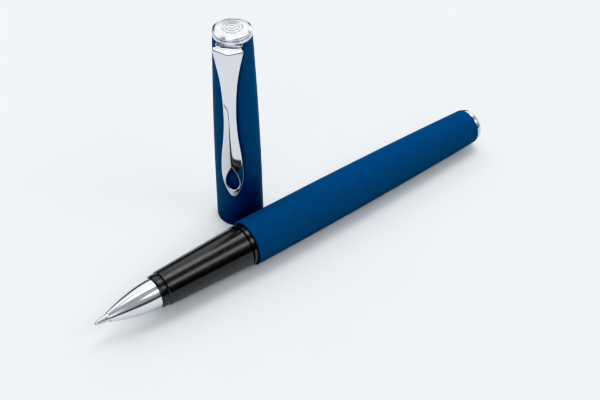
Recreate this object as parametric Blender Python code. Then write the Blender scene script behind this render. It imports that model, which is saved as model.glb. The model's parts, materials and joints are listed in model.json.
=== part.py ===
"""Rollerball pen, uncapped: the pen lies along X with its cap standing upright behind it.

Lengths are in millimetres and become metres when a vertex is made. Every pen piece is measured from
the front face of the barrel, positive towards the barrel's end; every cap piece is measured upwards
from the cap's open mouth.
"""
import math

import bmesh
import bpy
from mathutils import Vector

MM = 0.001

# Barrel
BARREL_LENGTH = 76.0
BARREL_FRONT_RADIUS = 6.0
BARREL_SWELL = 0.30
BARREL_TAPER = 1.42
BARREL_BORE_RADIUS = 4.20
BARREL_INSERT_BORE_RADIUS = 5.05
BARREL_INSERT_DEPTH = 11.5
BARREL_REST_POINT = 27.0
BARREL_STATIONS = (0.35, 7.0, 19.0, 35.0, 49.0, 63.0, 75.85)
END_CAP_LENGTH = 2.0
# Outline of the end cap's head: distance behind the flange's front, inset from the flange's radius
END_CAP_HEAD = ((0, 0), (0.38, 0), (0.48, 0.28), (0.60, 0.28), (0.70, 0.10), (1.45, 0.15),
                (1.78, 0.50))
END_CAP_FACE_INSET = 1.5
END_PLUG_RECESS = 0.10
END_PLUG_LENGTH = 4.6
END_STUD_RADIUS = 1.5
END_STUD_LENGTH = 3.5

# Section: the grip in front of the barrel, with its nose cone
SECTION_LENGTH = 27.5
GRIP_FRONT_RADIUS = 4.40
GRIP_REAR_RADIUS = 5.50
BEAD_RADIUS = 4.22
COLLAR_LENGTH = 1.20
GROOVE_LENGTH = 0.35
GROOVE_RADIUS = 5.10
SLEEVE_HEAD_RADIUS = 4.40
SLEEVE_HEAD_DEPTH = 7.0
NOSE_PLUG_RADIUS = 2.95
NOSE_PLUG_LENGTH = 4.5
REFILL_BORE_RADIUS = 3.25
SLEEVE_RADIUS = 3.75
NOSE_BASE_RADIUS = 3.88
NOSE_FRONT_RADIUS = 1.33
NOSE_LENGTH = 12.8
NOSE_CURVE = 1.72

# The thread between section and barrel
THREAD_PITCH = 1.0
THREAD_DEPTH = 0.35
THREAD_CLEARANCE = 0.12
SLEEVE_THREAD_START = 1.5
SLEEVE_THREAD_TURNS = 5
INSERT_THREAD_START = 1.0
INSERT_THREAD_TURNS = 8

# Refill
TIP_END = -44.0
REFILL_LENGTH = 110.5
REFILL_RADIUS = 3.05
REFILL_WALL = 0.35
BALL_RADIUS = 0.35
REFILL_TUBE_FRONT = -21.5
STEM_FRONT = -34.5
STEM_RADIUS = 1.85
TIP_RADIUS = 1.12
FEED_RADIUS = 0.75
SPRING_RADIUS = 2.3
SPRING_WIRE_RADIUS = 0.22
SPRING_TURNS = 4.5

# Cap
CAP_HEIGHT = 57.07
CAP_FOOT_RADIUS = 6.07
CAP_TOP_RADIUS = 4.80
CAP_BULGE = 1.30
CAP_WALL = 0.42
CAP_LIP_WALL = 0.34
CAP_LIP_DEPTH = 7.0
# Inside of the liner: height and radius, from its ceiling to its mouth
LINER_INSIDE = ((48.6, 0), (48.6, 2.6), (40.0, 3.9), (27.0, 4.70), (14.0, 5.05), (7.3, 5.32))
CAP_FROM_BARREL_FRONT = 9.6
CAP_FROM_PEN_AXIS = 16.1

# Cap top
BUSH_BOTTOM = 53.2
BUSH_TOP = 55.55
STUD_RADIUS = 1.35
STUD_BOTTOM = 50.4
STUD_HEAD_RADIUS = 2.4
STUD_HEAD_THICKNESS = 0.45
FINIAL_BASE_THICKNESS = 0.80
FINIAL_FACE_RADIUS = 4.05

# Clip
CLIP_AZIMUTH = math.radians(-137.2)
CLIP_PLATE = 0.60
CLIP_THICKNESS = 0.80
CLIP_TIP_THICKNESS = 0.40
CLIP_TIP_GROWTH = 0.35
CLIP_EDGE = 0.45
CLIP_BACK_CROWN = 0.35
CLIP_HINGE_RADIUS = 4.60
CLIP_HINGE_HEIGHT = 56.65
CLIP_EYE_RADIUS = 3.95
CLIP_HOLE_RADIUS = 1.80
CLIP_PLATE_TOP = 56.95
CLIP_PLATE_WIDTH = 6.2
CLIP_PLATE_REACH = 4.9
CLIP_SLOT_BOTTOM = 55.55
CLIP_SLOT_DEPTH = 2.0
CLIP_SLOT_LENGTH = 4.0
CLIP_CLEARANCE = 0.15

PRESS_GAP = 0.04
SLIDE_GAP = 0.12
OUTER_SEGMENTS = 32
INNER_SEGMENTS = 20


# --- Frame -----------------------------------------------------------------------------------------

def barrel_radius(along):
    """Outer radius of the barrel, a shallow parabola with its belly near the front."""
    share = along / BARREL_LENGTH
    return BARREL_FRONT_RADIUS + BARREL_SWELL * share - BARREL_TAPER * share ** 2


def barrel_tilt():
    """Angle that lays the barrel on its belly at the rest point, under the centre of mass."""
    share = BARREL_REST_POINT / BARREL_LENGTH
    slope = (BARREL_SWELL - 2 * BARREL_TAPER * share) / BARREL_LENGTH
    return -math.atan(slope)


def cap_radius(height):
    """Outer radius of the cap's shell."""
    share = height / CAP_HEIGHT
    straight = CAP_FOOT_RADIUS + (CAP_TOP_RADIUS - CAP_FOOT_RADIUS) * share
    return straight + CAP_BULGE * share * (1 - share)


def steps(start, stop, count):
    """Evenly spaced values from start to stop, both included."""
    return [start + (stop - start) * i / count for i in range(count + 1)]


def pen_frame():
    """Empty on the pen's axis at the barrel's front; the pen touches the floor with its belly."""
    tilt = barrel_tilt()
    height = max(s * math.sin(tilt) + barrel_radius(s) * math.cos(tilt) for s in BARREL_STATIONS)
    front = TIP_END
    rear = BARREL_LENGTH + END_CAP_LENGTH
    far_side = CAP_FROM_PEN_AXIS + CAP_FOOT_RADIUS
    near_side = -max(barrel_radius(s) for s in BARREL_STATIONS)
    axis = bpy.data.objects.new("pen_axis", None)
    axis.location = Vector((-(front + rear) / 2, -(far_side + near_side) / 2, height)) * MM
    axis.rotation_euler = (0, tilt, 0)
    bpy.context.collection.objects.link(axis)
    return axis


def cap_frame(pen_axis):
    """Empty on the cap's axis, on the floor."""
    place = pen_axis.location + Vector((CAP_FROM_BARREL_FRONT, CAP_FROM_PEN_AXIS, 0)) * MM
    axis = bpy.data.objects.new("cap_axis", None)
    axis.location = (place.x, place.y, 0)
    bpy.context.collection.objects.link(axis)
    return axis


# --- Turned solids ---------------------------------------------------------------------------------

def along_x(along, radius, angle):
    return Vector((along, radius * math.cos(angle), radius * math.sin(angle))) * MM


def along_z(along, radius, angle):
    return Vector((radius * math.cos(angle), radius * math.sin(angle), along)) * MM


class TurnedSolid:
    """A closed solid of revolution, grown ring by ring along its outline."""

    def __init__(self, to_point, segments):
        self.mesh = bmesh.new()
        self.to_point = to_point
        self.segments = segments
        self.first = None
        self.last = None

    def vertex(self, along, radius, share):
        return self.mesh.verts.new(self.to_point(along, radius, 2 * math.pi * share))

    def bridge(self, ring_a, ring_b):
        count = self.segments
        for i in range(count):
            corners = [ring_a[i % len(ring_a)], ring_a[(i + 1) % len(ring_a)],
                       ring_b[(i + 1) % len(ring_b)], ring_b[i % len(ring_b)]]
            distinct = list(dict.fromkeys(corners))
            self.mesh.faces.new(distinct)

    def ring(self, along, radius):
        """Add a ring to the outline; a radius of zero makes a point on the axis."""
        count = self.segments if radius > 0 else 1
        ring = [self.vertex(along, radius, i / self.segments) for i in range(count)]
        if self.last:
            self.bridge(self.last, ring)
        self.first = self.first or ring
        self.last = ring

    def thread(self, start, turns, root_radius, crest_radius):
        """Add a helical V thread of some turns, with both its ends running out to a ring."""
        count = self.segments
        run_out = THREAD_PITCH / 2
        relief = (root_radius - crest_radius) / 3
        self.ring(start - run_out, root_radius + relief)
        front = self.last
        rows = 2 * turns
        grid = []
        for row in range(rows + 1):
            radius = crest_radius if row % 2 else root_radius
            offset = start + THREAD_PITCH * row / 2
            grid.append([self.vertex(offset + THREAD_PITCH * i / count, radius, i / count)
                         for i in range(count)])
        for extra in (rows + 1, rows + 2):
            radius = crest_radius if extra % 2 else root_radius
            grid.append([self.vertex(start + THREAD_PITCH * extra / 2, radius, 0)])
        for row in range(rows + 1):
            grid[row].append(grid[row + 2][0])
        for row in range(rows):
            self.helical_strip(grid[row], grid[row + 1])
        self.helical_strip(front + front[:1], grid[0])
        self.mesh.faces.new((front[0], grid[0][0], grid[2][0]))
        self.mesh.faces.new((grid[0][0], grid[1][0], grid[2][0]))
        end = start + THREAD_PITCH * (turns + 1) + run_out
        rear = [self.vertex(end, root_radius + relief, i / count) for i in range(count)]
        self.helical_strip(grid[rows], rear + rear[:1])
        self.mesh.faces.new((rear[0], grid[rows][0], grid[rows + 2][0]))
        self.mesh.faces.new((grid[rows][0], grid[rows + 1][0], grid[rows + 2][0]))
        self.last = rear

    def helical_strip(self, row_a, row_b):
        for i in range(self.segments):
            self.mesh.faces.new((row_a[i], row_a[i + 1], row_b[i + 1], row_b[i]))

    def finish(self, name, parent, material):
        """Close the outline back to its first ring and make the object."""
        if len(self.first) > 1:
            self.bridge(self.last, self.first)
        return mesh_object(name, self.mesh, parent, material)


def mesh_object(name, built, parent, material, sharp_angle=35):
    """Object from a bmesh, faces pointing out, smooth except at its sharp edges."""
    bmesh.ops.recalc_face_normals(built, faces=built.faces)
    data = bpy.data.meshes.new(name)
    built.to_mesh(data)
    built.free()
    data.shade_smooth()
    data.set_sharp_from_angle(angle=math.radians(sharp_angle))
    data.materials.append(material)
    solid = bpy.data.objects.new(name, data)
    solid.parent = parent
    bpy.context.collection.objects.link(solid)
    return solid


def turned(name, outline, parent, material, to_point=along_x, segments=INNER_SEGMENTS):
    """Solid of revolution through an outline of (along, radius) points."""
    solid = TurnedSolid(to_point, segments)
    for along, radius in outline:
        solid.ring(along, radius)
    return solid.finish(name, parent, material)


# --- Materials -------------------------------------------------------------------------------------

def material(name, colour, roughness, metallic=0.0):
    made = bpy.data.materials.new(name)
    made.use_nodes = True
    shader = made.node_tree.nodes["Principled BSDF"]
    shader.inputs["Base Color"].default_value = (*colour, 1)
    shader.inputs["Roughness"].default_value = roughness
    shader.inputs["Metallic"].default_value = metallic
    return made


def make_materials():
    return {
        "blue_paint": material("matt_blue_paint", (0.002, 0.045, 0.16), 0.55),
        "chrome": material("chrome", (0.80, 0.81, 0.82), 0.08, 1.0),
        "black_gloss": material("gloss_black_plastic", (0.008, 0.008, 0.009), 0.18),
        "brass": material("brass", (0.72, 0.52, 0.25), 0.30, 1.0),
        "steel": material("steel", (0.60, 0.60, 0.62), 0.25, 1.0),
        "nickel": material("nickel_silver", (0.66, 0.63, 0.58), 0.18, 1.0),
        "carbide": material("tungsten_carbide", (0.30, 0.30, 0.32), 0.20, 1.0),
        "liner": material("liner_plastic", (0.025, 0.025, 0.028), 0.45),
        "refill": material("refill_plastic", (0.10, 0.12, 0.16), 0.35),
        "fibre": material("ink_fibre", (0.02, 0.03, 0.12), 0.90),
    }


# --- Barrel ----------------------------------------------------------------------------------------

def barrel_tube(axis, looks):
    front_edge = BARREL_STATIONS[0]
    rear_edge = BARREL_STATIONS[-1]
    outline = [(0, barrel_radius(0) - 0.20)]
    outline += [(s, barrel_radius(s)) for s in BARREL_STATIONS]
    outline += [(BARREL_LENGTH, barrel_radius(rear_edge) - 0.15),
                (BARREL_LENGTH, BARREL_BORE_RADIUS),
                (BARREL_INSERT_DEPTH, BARREL_BORE_RADIUS),
                (BARREL_INSERT_DEPTH, BARREL_INSERT_BORE_RADIUS),
                (front_edge, BARREL_INSERT_BORE_RADIUS),
                (0, BARREL_INSERT_BORE_RADIUS + 0.15)]
    turned("barrel_tube", outline, axis, looks["blue_paint"], segments=OUTER_SEGMENTS)


def barrel_thread_insert(axis, looks):
    """Bush with the internal thread; its teeth stand half a pitch from the sleeve's."""
    crest = SLEEVE_RADIUS + THREAD_CLEARANCE
    root = crest + THREAD_DEPTH
    outer = BARREL_INSERT_BORE_RADIUS - PRESS_GAP
    front = 0.25
    rear = BARREL_INSERT_DEPTH - SLIDE_GAP
    edge = 0.15
    solid = TurnedSolid(along_x, INNER_SEGMENTS)
    solid.ring(front, root + edge)
    solid.thread(INSERT_THREAD_START, INSERT_THREAD_TURNS, root, crest)
    solid.ring(rear, root + edge)
    solid.ring(rear, outer)
    solid.ring(front + edge, outer)
    solid.ring(front, outer - edge)
    solid.finish("barrel_thread_insert", axis, looks["brass"])


def barrel_end_plug(axis, looks):
    """Plug pressed into the barrel's rear, bored for the end cap's stud."""
    rear = BARREL_LENGTH - END_PLUG_RECESS
    front = rear - END_PLUG_LENGTH
    radius = BARREL_BORE_RADIUS - PRESS_GAP
    outline = [(front, radius - 0.3), (front + 0.3, radius), (rear, radius),
               (rear, END_STUD_RADIUS + PRESS_GAP), (front, END_STUD_RADIUS + PRESS_GAP)]
    turned("barrel_end_plug", outline, axis, looks["brass"])


def barrel_end_cap(axis, looks):
    """Chrome button: a flange, a groove and a rounded disc, on a stud."""
    flange_radius = barrel_radius(BARREL_LENGTH) - 0.08
    front = BARREL_LENGTH + PRESS_GAP
    rear = BARREL_LENGTH + END_CAP_LENGTH
    outline = [(front - END_STUD_LENGTH, 0), (front - END_STUD_LENGTH, END_STUD_RADIUS),
               (front, END_STUD_RADIUS)]
    outline += [(front + behind, flange_radius - inset) for behind, inset in END_CAP_HEAD]
    outline += [(rear, flange_radius - END_CAP_FACE_INSET), (rear, 0)]
    turned("barrel_end_cap", outline, axis, looks["chrome"], segments=OUTER_SEGMENTS)


def refill_spring(axis, looks):
    """Coil spring that holds the refill forward, bottomed on the end plug."""
    front = TIP_END + REFILL_LENGTH + SPRING_WIRE_RADIUS + SLIDE_GAP
    plug_front = BARREL_LENGTH - END_PLUG_RECESS - END_PLUG_LENGTH
    rear = plug_front - SPRING_WIRE_RADIUS - SLIDE_GAP
    points_per_turn = 12
    count = int(SPRING_TURNS * points_per_turn)
    curve = bpy.data.curves.new("refill_spring", "CURVE")
    curve.dimensions = "3D"
    curve.bevel_depth = SPRING_WIRE_RADIUS * MM
    curve.bevel_resolution = 1
    curve.use_fill_caps = True
    wire = curve.splines.new("POLY")
    wire.points.add(count)
    for i in range(count + 1):
        place = along_x(front + (rear - front) * i / count, SPRING_RADIUS,
                        2 * math.pi * i / points_per_turn)
        wire.points[i].co = (*place, 1)
    curve.materials.append(looks["steel"])
    spring = bpy.data.objects.new("refill_spring", curve)
    spring.parent = axis
    bpy.context.collection.objects.link(spring)


# --- Section ---------------------------------------------------------------------------------------

def grip_radius(along):
    """The grip's straight taper, from its front end to its rear lip."""
    rear = -COLLAR_LENGTH - GROOVE_LENGTH
    share = (along + SECTION_LENGTH) / (SECTION_LENGTH + rear)
    return GRIP_FRONT_RADIUS + (GRIP_REAR_RADIUS - GRIP_FRONT_RADIUS) * share


def grip_section(axis, looks):
    front = -SECTION_LENGTH
    lip = -COLLAR_LENGTH - GROOVE_LENGTH
    rear = -COLLAR_LENGTH - PRESS_GAP
    sleeve_bore = SLEEVE_HEAD_RADIUS + PRESS_GAP
    outline = [(front, NOSE_BASE_RADIUS + 0.02), (front + 0.25, 4.10), (front + 0.8, BEAD_RADIUS),
               (front + 1.6, BEAD_RADIUS), (front + 2.0, BEAD_RADIUS - 0.12),
               (front + 2.35, grip_radius(front + 2.35) - 0.06)]
    outline += [(s, grip_radius(s)) for s in steps(front + 2.8, lip - 0.15, 4)]
    outline += [(lip, GRIP_REAR_RADIUS - 0.12), (lip, GROOVE_RADIUS), (rear, GROOVE_RADIUS),
                (rear, sleeve_bore), (-SLEEVE_HEAD_DEPTH - 0.2, sleeve_bore),
                (-SLEEVE_HEAD_DEPTH - 0.2, REFILL_BORE_RADIUS),
                (front + NOSE_PLUG_LENGTH + 0.1, REFILL_BORE_RADIUS),
                (front + NOSE_PLUG_LENGTH + 0.1, NOSE_PLUG_RADIUS + PRESS_GAP),
                (front, NOSE_PLUG_RADIUS + PRESS_GAP)]
    turned("grip_section", outline, axis, looks["black_gloss"], segments=OUTER_SEGMENTS)


def section_collar(axis, looks):
    """Loose trim ring between the grip and the barrel, around the sleeve."""
    front = -COLLAR_LENGTH
    rear = -0.08
    radius = GRIP_REAR_RADIUS - 0.02
    inner = SLEEVE_RADIUS + SLIDE_GAP
    outline = [(front, radius - 0.12), (front + 0.12, radius), (rear - 0.12, radius),
               (rear, radius - 0.12), (rear, inner), (front, inner)]
    turned("section_collar", outline, axis, looks["black_gloss"], segments=OUTER_SEGMENTS)


def section_sleeve(axis, looks):
    """Metal sleeve glued into the grip, with the external thread that holds the barrel."""
    front = -SLEEVE_HEAD_DEPTH
    shoulder = -COLLAR_LENGTH - SLIDE_GAP
    crest = SLEEVE_RADIUS + THREAD_DEPTH
    rear = SLEEVE_THREAD_START + THREAD_PITCH * (SLEEVE_THREAD_TURNS + 1.5) + 0.6
    solid = TurnedSolid(along_x, INNER_SEGMENTS)
    solid.ring(front, REFILL_BORE_RADIUS)
    solid.ring(front, SLEEVE_HEAD_RADIUS)
    solid.ring(shoulder, SLEEVE_HEAD_RADIUS)
    solid.ring(shoulder, SLEEVE_RADIUS)
    solid.thread(SLEEVE_THREAD_START, SLEEVE_THREAD_TURNS, SLEEVE_RADIUS, crest)
    solid.ring(rear, SLEEVE_RADIUS - 0.15)
    solid.ring(rear, REFILL_BORE_RADIUS)
    solid.finish("section_sleeve", axis, looks["brass"])


def nose_radius(ahead):
    """Outer radius of the nose, a given length ahead of its base."""
    drop = NOSE_BASE_RADIUS - NOSE_FRONT_RADIUS
    return NOSE_BASE_RADIUS - drop * (ahead / NOSE_LENGTH) ** NOSE_CURVE


def nose_cone(axis, looks):
    """Ogive with a plug into the grip; its inner shoulder stops the refill's stem."""
    base = -SECTION_LENGTH - PRESS_GAP
    outline = [(base + NOSE_PLUG_LENGTH, STEM_RADIUS + SLIDE_GAP),
               (base + NOSE_PLUG_LENGTH, NOSE_PLUG_RADIUS), (base, NOSE_PLUG_RADIUS)]
    outline += [(base - t, nose_radius(t)) for t in steps(0, NOSE_LENGTH, 7)]
    front = base - NOSE_LENGTH
    shoulder = STEM_FRONT - SLIDE_GAP
    outline += [(front, TIP_RADIUS + 0.06), (shoulder - 0.5, TIP_RADIUS + 0.06),
                (shoulder, STEM_RADIUS + SLIDE_GAP)]
    turned("nose_cone", outline, axis, looks["chrome"], segments=OUTER_SEGMENTS)


# --- Refill ----------------------------------------------------------------------------------------

def refill_tip(axis, looks):
    """Writing cone, crimped in front of the ball's middle, with a shank into the stem."""
    ball = TIP_END + BALL_RADIUS
    rim = ball - 0.14
    seat = ball + 0.42
    socket = BALL_RADIUS + 0.03
    cone_rear = TIP_END + 3.4
    shank_rear = STEM_FRONT + 2.2
    outline = [(rim, BALL_RADIUS - 0.01), (rim, BALL_RADIUS + 0.08), (rim + 0.5, BALL_RADIUS + 0.22),
               (cone_rear, TIP_RADIUS - 0.06), (cone_rear + 0.3, TIP_RADIUS),
               (shank_rear, TIP_RADIUS), (shank_rear, 0.45), (seat + 0.6, 0.45), (seat + 0.4, 0.15),
               (seat, 0.15), (seat - 0.12, socket), (ball, socket)]
    turned("refill_tip", outline, axis, looks["nickel"])


def tip_ball(axis, looks):
    built = bmesh.new()
    bmesh.ops.create_uvsphere(built, u_segments=12, v_segments=8, radius=BALL_RADIUS * MM)
    ball = mesh_object("tip_ball", built, axis, looks["carbide"])
    ball.location = Vector((TIP_END + BALL_RADIUS, 0, 0)) * MM


def refill_stem(axis, looks):
    """Plastic holder: a slim stem in the nose, a plug in the tube, bored for tip and feed."""
    tube_front = REFILL_TUBE_FRONT
    plug_radius = REFILL_RADIUS - REFILL_WALL - PRESS_GAP
    tip_bore = TIP_RADIUS + PRESS_GAP
    tip_depth = STEM_FRONT + 2.4
    plug_rear = tube_front + 4.0
    feed_bore = FEED_RADIUS + PRESS_GAP
    outline = [(STEM_FRONT, tip_bore), (STEM_FRONT, STEM_RADIUS - 0.2),
               (STEM_FRONT + 0.3, STEM_RADIUS), (tube_front - 0.6, STEM_RADIUS),
               (tube_front - 0.3, REFILL_RADIUS - 0.25), (tube_front - PRESS_GAP, REFILL_RADIUS - 0.25),
               (tube_front - PRESS_GAP, plug_radius), (plug_rear, plug_radius),
               (plug_rear, feed_bore), (tip_depth, feed_bore), (tip_depth, tip_bore)]
    turned("refill_stem", outline, axis, looks["liner"])


def refill_tube(axis, looks):
    rear = TIP_END + REFILL_LENGTH - 0.8
    inner = REFILL_RADIUS - REFILL_WALL
    outline = [(REFILL_TUBE_FRONT, inner), (REFILL_TUBE_FRONT, REFILL_RADIUS),
               (rear, REFILL_RADIUS), (rear, inner)]
    turned("refill_tube", outline, axis, looks["refill"])


def refill_end_plug(axis, looks):
    """Plug at the tube's rear, with an air hole and a head that the spring pushes."""
    rear = TIP_END + REFILL_LENGTH
    head = rear - 0.8 + PRESS_GAP
    plug_radius = REFILL_RADIUS - REFILL_WALL - PRESS_GAP
    air_hole = 0.4
    outline = [(head - 4.0, air_hole), (head - 4.0, plug_radius), (head, plug_radius),
               (head, REFILL_RADIUS), (rear - 0.2, REFILL_RADIUS), (rear, REFILL_RADIUS - 0.2),
               (rear, air_hole)]
    turned("refill_end_plug", outline, axis, looks["liner"])


def ink_reservoir(axis, looks):
    """Fibre store that fills the tube between its two plugs."""
    front = REFILL_TUBE_FRONT + 4.2
    rear = TIP_END + REFILL_LENGTH - 5.0
    radius = REFILL_RADIUS - REFILL_WALL - SLIDE_GAP
    outline = [(front, 0), (front, radius), (rear, radius), (rear, 0)]
    turned("ink_reservoir", outline, axis, looks["fibre"])


def ink_feed(axis, looks):
    """Wick through the stem, from the store to the back of the tip."""
    front = STEM_FRONT + 2.4 + SLIDE_GAP
    rear = REFILL_TUBE_FRONT + 4.1
    outline = [(front, 0), (front, FEED_RADIUS), (rear, FEED_RADIUS), (rear, 0)]
    turned("ink_feed", outline, axis, looks["fibre"], segments=12)


# --- Cap -------------------------------------------------------------------------------------------

def cap_bore(height):
    """Inner radius of the cap's shell."""
    wall = CAP_LIP_WALL if height < CAP_LIP_DEPTH else CAP_WALL
    return cap_radius(height) - wall


def slot_cutter(axis):
    """Block that cuts the clip's slot into the top edge of the shell."""
    built = bmesh.new()
    bmesh.ops.create_cube(built, size=1)
    size = Vector((CLIP_SLOT_LENGTH, CLIP_PLATE_WIDTH + 2 * CLIP_CLEARANCE, CLIP_SLOT_DEPTH)) * MM
    bmesh.ops.scale(built, vec=size, verts=built.verts)
    data = bpy.data.meshes.new("clip_slot_cutter")
    built.to_mesh(data)
    built.free()
    cutter = bpy.data.objects.new("clip_slot_cutter", data)
    middle = CLIP_HINGE_RADIUS
    cutter.location = Vector((middle * math.cos(CLIP_AZIMUTH), middle * math.sin(CLIP_AZIMUTH),
                              CLIP_SLOT_BOTTOM + CLIP_SLOT_DEPTH / 2)) * MM
    cutter.rotation_euler = (0, 0, CLIP_AZIMUTH)
    cutter.parent = axis
    cutter.hide_render = True
    cutter.display_type = "WIRE"
    bpy.context.collection.objects.link(cutter)
    return cutter


def cut(solid, cutter, operation="DIFFERENCE"):
    boolean = solid.modifiers.new(cutter.name, "BOOLEAN")
    boolean.operation = operation
    boolean.solver = "EXACT"
    boolean.object = cutter


def cap_shell(axis, looks):
    """Swelling tube, slotted at the top for the clip."""
    step = CAP_LIP_DEPTH
    edge = 0.06
    outline = [(0, cap_radius(0) - edge), (edge, cap_radius(edge))]
    outline += [(z, cap_radius(z)) for z in steps(7.0, CAP_HEIGHT, 6)]
    outline += [(z, cap_bore(z)) for z in steps(CAP_HEIGHT, step, 5)]
    outline += [(step, cap_radius(step) - CAP_LIP_WALL), (edge, cap_bore(0)), (0, cap_bore(0) + edge)]
    shell = turned("cap_shell", outline, axis, looks["blue_paint"], along_z, OUTER_SEGMENTS)
    cut(shell, slot_cutter(axis))


def cap_liner(axis, looks):
    """Inner cap that seals around the section, closed by a boss that takes the stud."""
    gap = PRESS_GAP + 0.02
    mouth = LINER_INSIDE[-1][0]
    top = BUSH_BOTTOM - PRESS_GAP
    outer = [(z, cap_bore(z) - gap) for z in steps(mouth, top, 5)]
    hole = STUD_RADIUS + PRESS_GAP
    stud_end = STUD_BOTTOM - SLIDE_GAP
    outline = list(LINER_INSIDE) + outer + [(top, hole), (stud_end, hole), (stud_end, 0)]
    turned("cap_liner", outline, axis, looks["liner"], along_z, OUTER_SEGMENTS)


def cap_clutch_ring(axis, looks):
    """Snap ring in the mouth; its bead drops into the groove behind the grip's lip."""
    outer = cap_bore(0) - PRESS_GAP
    inner = GRIP_REAR_RADIUS + 0.06
    bead = GRIP_REAR_RADIUS - 0.07
    bottom = 0.35
    top = 3.2
    groove = COLLAR_LENGTH + GROOVE_LENGTH / 2
    outline = [(bottom, inner), (bottom, outer), (top, outer), (top, inner),
               (groove + 0.35, inner), (groove, bead), (groove - 0.35, inner)]
    turned("cap_clutch_ring", outline, axis, looks["steel"], along_z, OUTER_SEGMENTS)


def cap_top_bush(axis, looks):
    """Bush pressed into the shell's top, under the clip's plate."""
    hole = STUD_RADIUS + PRESS_GAP
    rim = [(z, cap_bore(z) - PRESS_GAP) for z in (BUSH_BOTTOM, BUSH_TOP)]
    outline = [(BUSH_BOTTOM, hole)] + rim + [(BUSH_TOP, hole)]
    turned("cap_top_bush", outline, axis, looks["brass"], along_z)


def finial_base(axis, looks):
    """Chrome flange over the shell's top, counterbored for the stud's head."""
    bottom = CAP_HEIGHT + PRESS_GAP
    top = bottom + FINIAL_BASE_THICKNESS
    hole = STUD_RADIUS + PRESS_GAP
    pocket = STUD_HEAD_RADIUS + PRESS_GAP
    outline = [(bottom, hole), (bottom, CAP_TOP_RADIUS - 0.06), (bottom + 0.06, CAP_TOP_RADIUS),
               (top - 0.08, CAP_TOP_RADIUS), (top, CAP_TOP_RADIUS - 0.1), (top, pocket),
               (top - STUD_HEAD_THICKNESS - 0.05, pocket), (top - STUD_HEAD_THICKNESS - 0.05, hole)]
    turned("finial_base", outline, axis, looks["chrome"], along_z, OUTER_SEGMENTS)


def finial_disc(axis, looks):
    """Chrome disc on the flange: a rounded rim round a slightly domed face."""
    bottom = CAP_HEIGHT + PRESS_GAP + FINIAL_BASE_THICKNESS + PRESS_GAP
    rim = CAP_TOP_RADIUS - 0.05
    outline = [(bottom, 0), (bottom, rim - 0.32), (bottom + 0.14, rim - 0.32), (bottom + 0.18, rim - 0.05),
               (bottom + 0.35, rim), (bottom + 0.62, rim - 0.14), (bottom + 0.80, FINIAL_FACE_RADIUS),
               (bottom + 0.78, FINIAL_FACE_RADIUS - 0.25), (bottom + 0.92, FINIAL_FACE_RADIUS / 2),
               (bottom + 0.96, 0)]
    turned("finial_disc", outline, axis, looks["chrome"], along_z, OUTER_SEGMENTS)


def finial_stud(axis, looks):
    """Screw down through flange, clip plate and bush into the liner's boss."""
    head_top = CAP_HEIGHT + PRESS_GAP + FINIAL_BASE_THICKNESS - 0.04
    head_bottom = head_top - STUD_HEAD_THICKNESS + 0.04
    outline = [(STUD_BOTTOM, 0), (STUD_BOTTOM, STUD_RADIUS - 0.2), (STUD_BOTTOM + 0.3, STUD_RADIUS),
               (head_bottom, STUD_RADIUS), (head_bottom, STUD_HEAD_RADIUS),
               (head_top, STUD_HEAD_RADIUS), (head_top, 0)]
    turned("finial_stud", outline, axis, looks["steel"], along_z)


# --- Clip ------------------------------------------------------------------------------------------

# Height on the cap, distance of the outer face from the cap's axis, half width, crown of the face.
CLIP_STATIONS = [
    (56.62, 4.70, 3.10, 0.00),
    (56.66, 5.40, 3.50, 0.03),
    (56.15, 5.98, 3.64, 0.18),
    (55.25, 6.45, 3.62, 0.32),
    (54.30, 6.46, 3.44, 0.26),
    (52.00, 6.42, 2.88, 0.14),
    (48.00, 6.54, 2.20, 0.12),
    (44.00, 6.75, 1.82, 0.12),
    (40.00, 6.95, 1.63, 0.14),
    (36.00, 7.12, 1.60, 0.20),
    (31.50, 7.29, 1.84, 0.30),
    (28.00, 7.41, 2.20, 0.42),
    (24.80, 7.50, 2.56, 0.54),
    (21.50, 7.54, 2.75, 0.62),
    (18.00, 7.48, 2.70, 0.62),
    (14.60, 7.25, 2.12, 0.48),
    (12.50, 7.00, 1.35, 0.28),
    (11.40, 6.82, 0.55, 0.10),
]
CLIP_HOLE_APEX = 21.7
CLIP_HOLE_BOTTOM = 13.9
CLIP_HOLE_HALF_WIDTH = 1.50
# The hole's widest place above its bottom, and the shoulders that narrow to its point
CLIP_HOLE_FULLEST = 2.6
CLIP_HOLE_SHOULDER = (0.62, 1.9)


def clip_arm_section(index):
    """Corners of the arm across one station, square to the line of the arm."""
    height, out, half_width, crown = CLIP_STATIONS[index]
    before = CLIP_STATIONS[max(index - 1, 0)]
    after = CLIP_STATIONS[min(index + 1, len(CLIP_STATIONS) - 1)]
    run = Vector((after[1] - before[1], 0, after[0] - before[0])).normalized()
    inward = Vector((run.z, 0, -run.x))
    thickness = min(CLIP_THICKNESS, CLIP_TIP_THICKNESS + CLIP_TIP_GROWTH * half_width)
    edge = crown + CLIP_EDGE * thickness
    back = thickness + CLIP_BACK_CROWN * crown
    corners = [(half_width, edge), (half_width * 0.55, crown * 0.3), (0, 0),
               (-half_width * 0.55, crown * 0.3), (-half_width, edge),
               (-half_width * 0.8, back), (half_width * 0.8, back)]
    centre = Vector((out - CLIP_HINGE_RADIUS, 0, height - CLIP_HINGE_HEIGHT))
    return [(centre + inward * depth + Vector((0, side, 0))) * MM for side, depth in corners]


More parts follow.
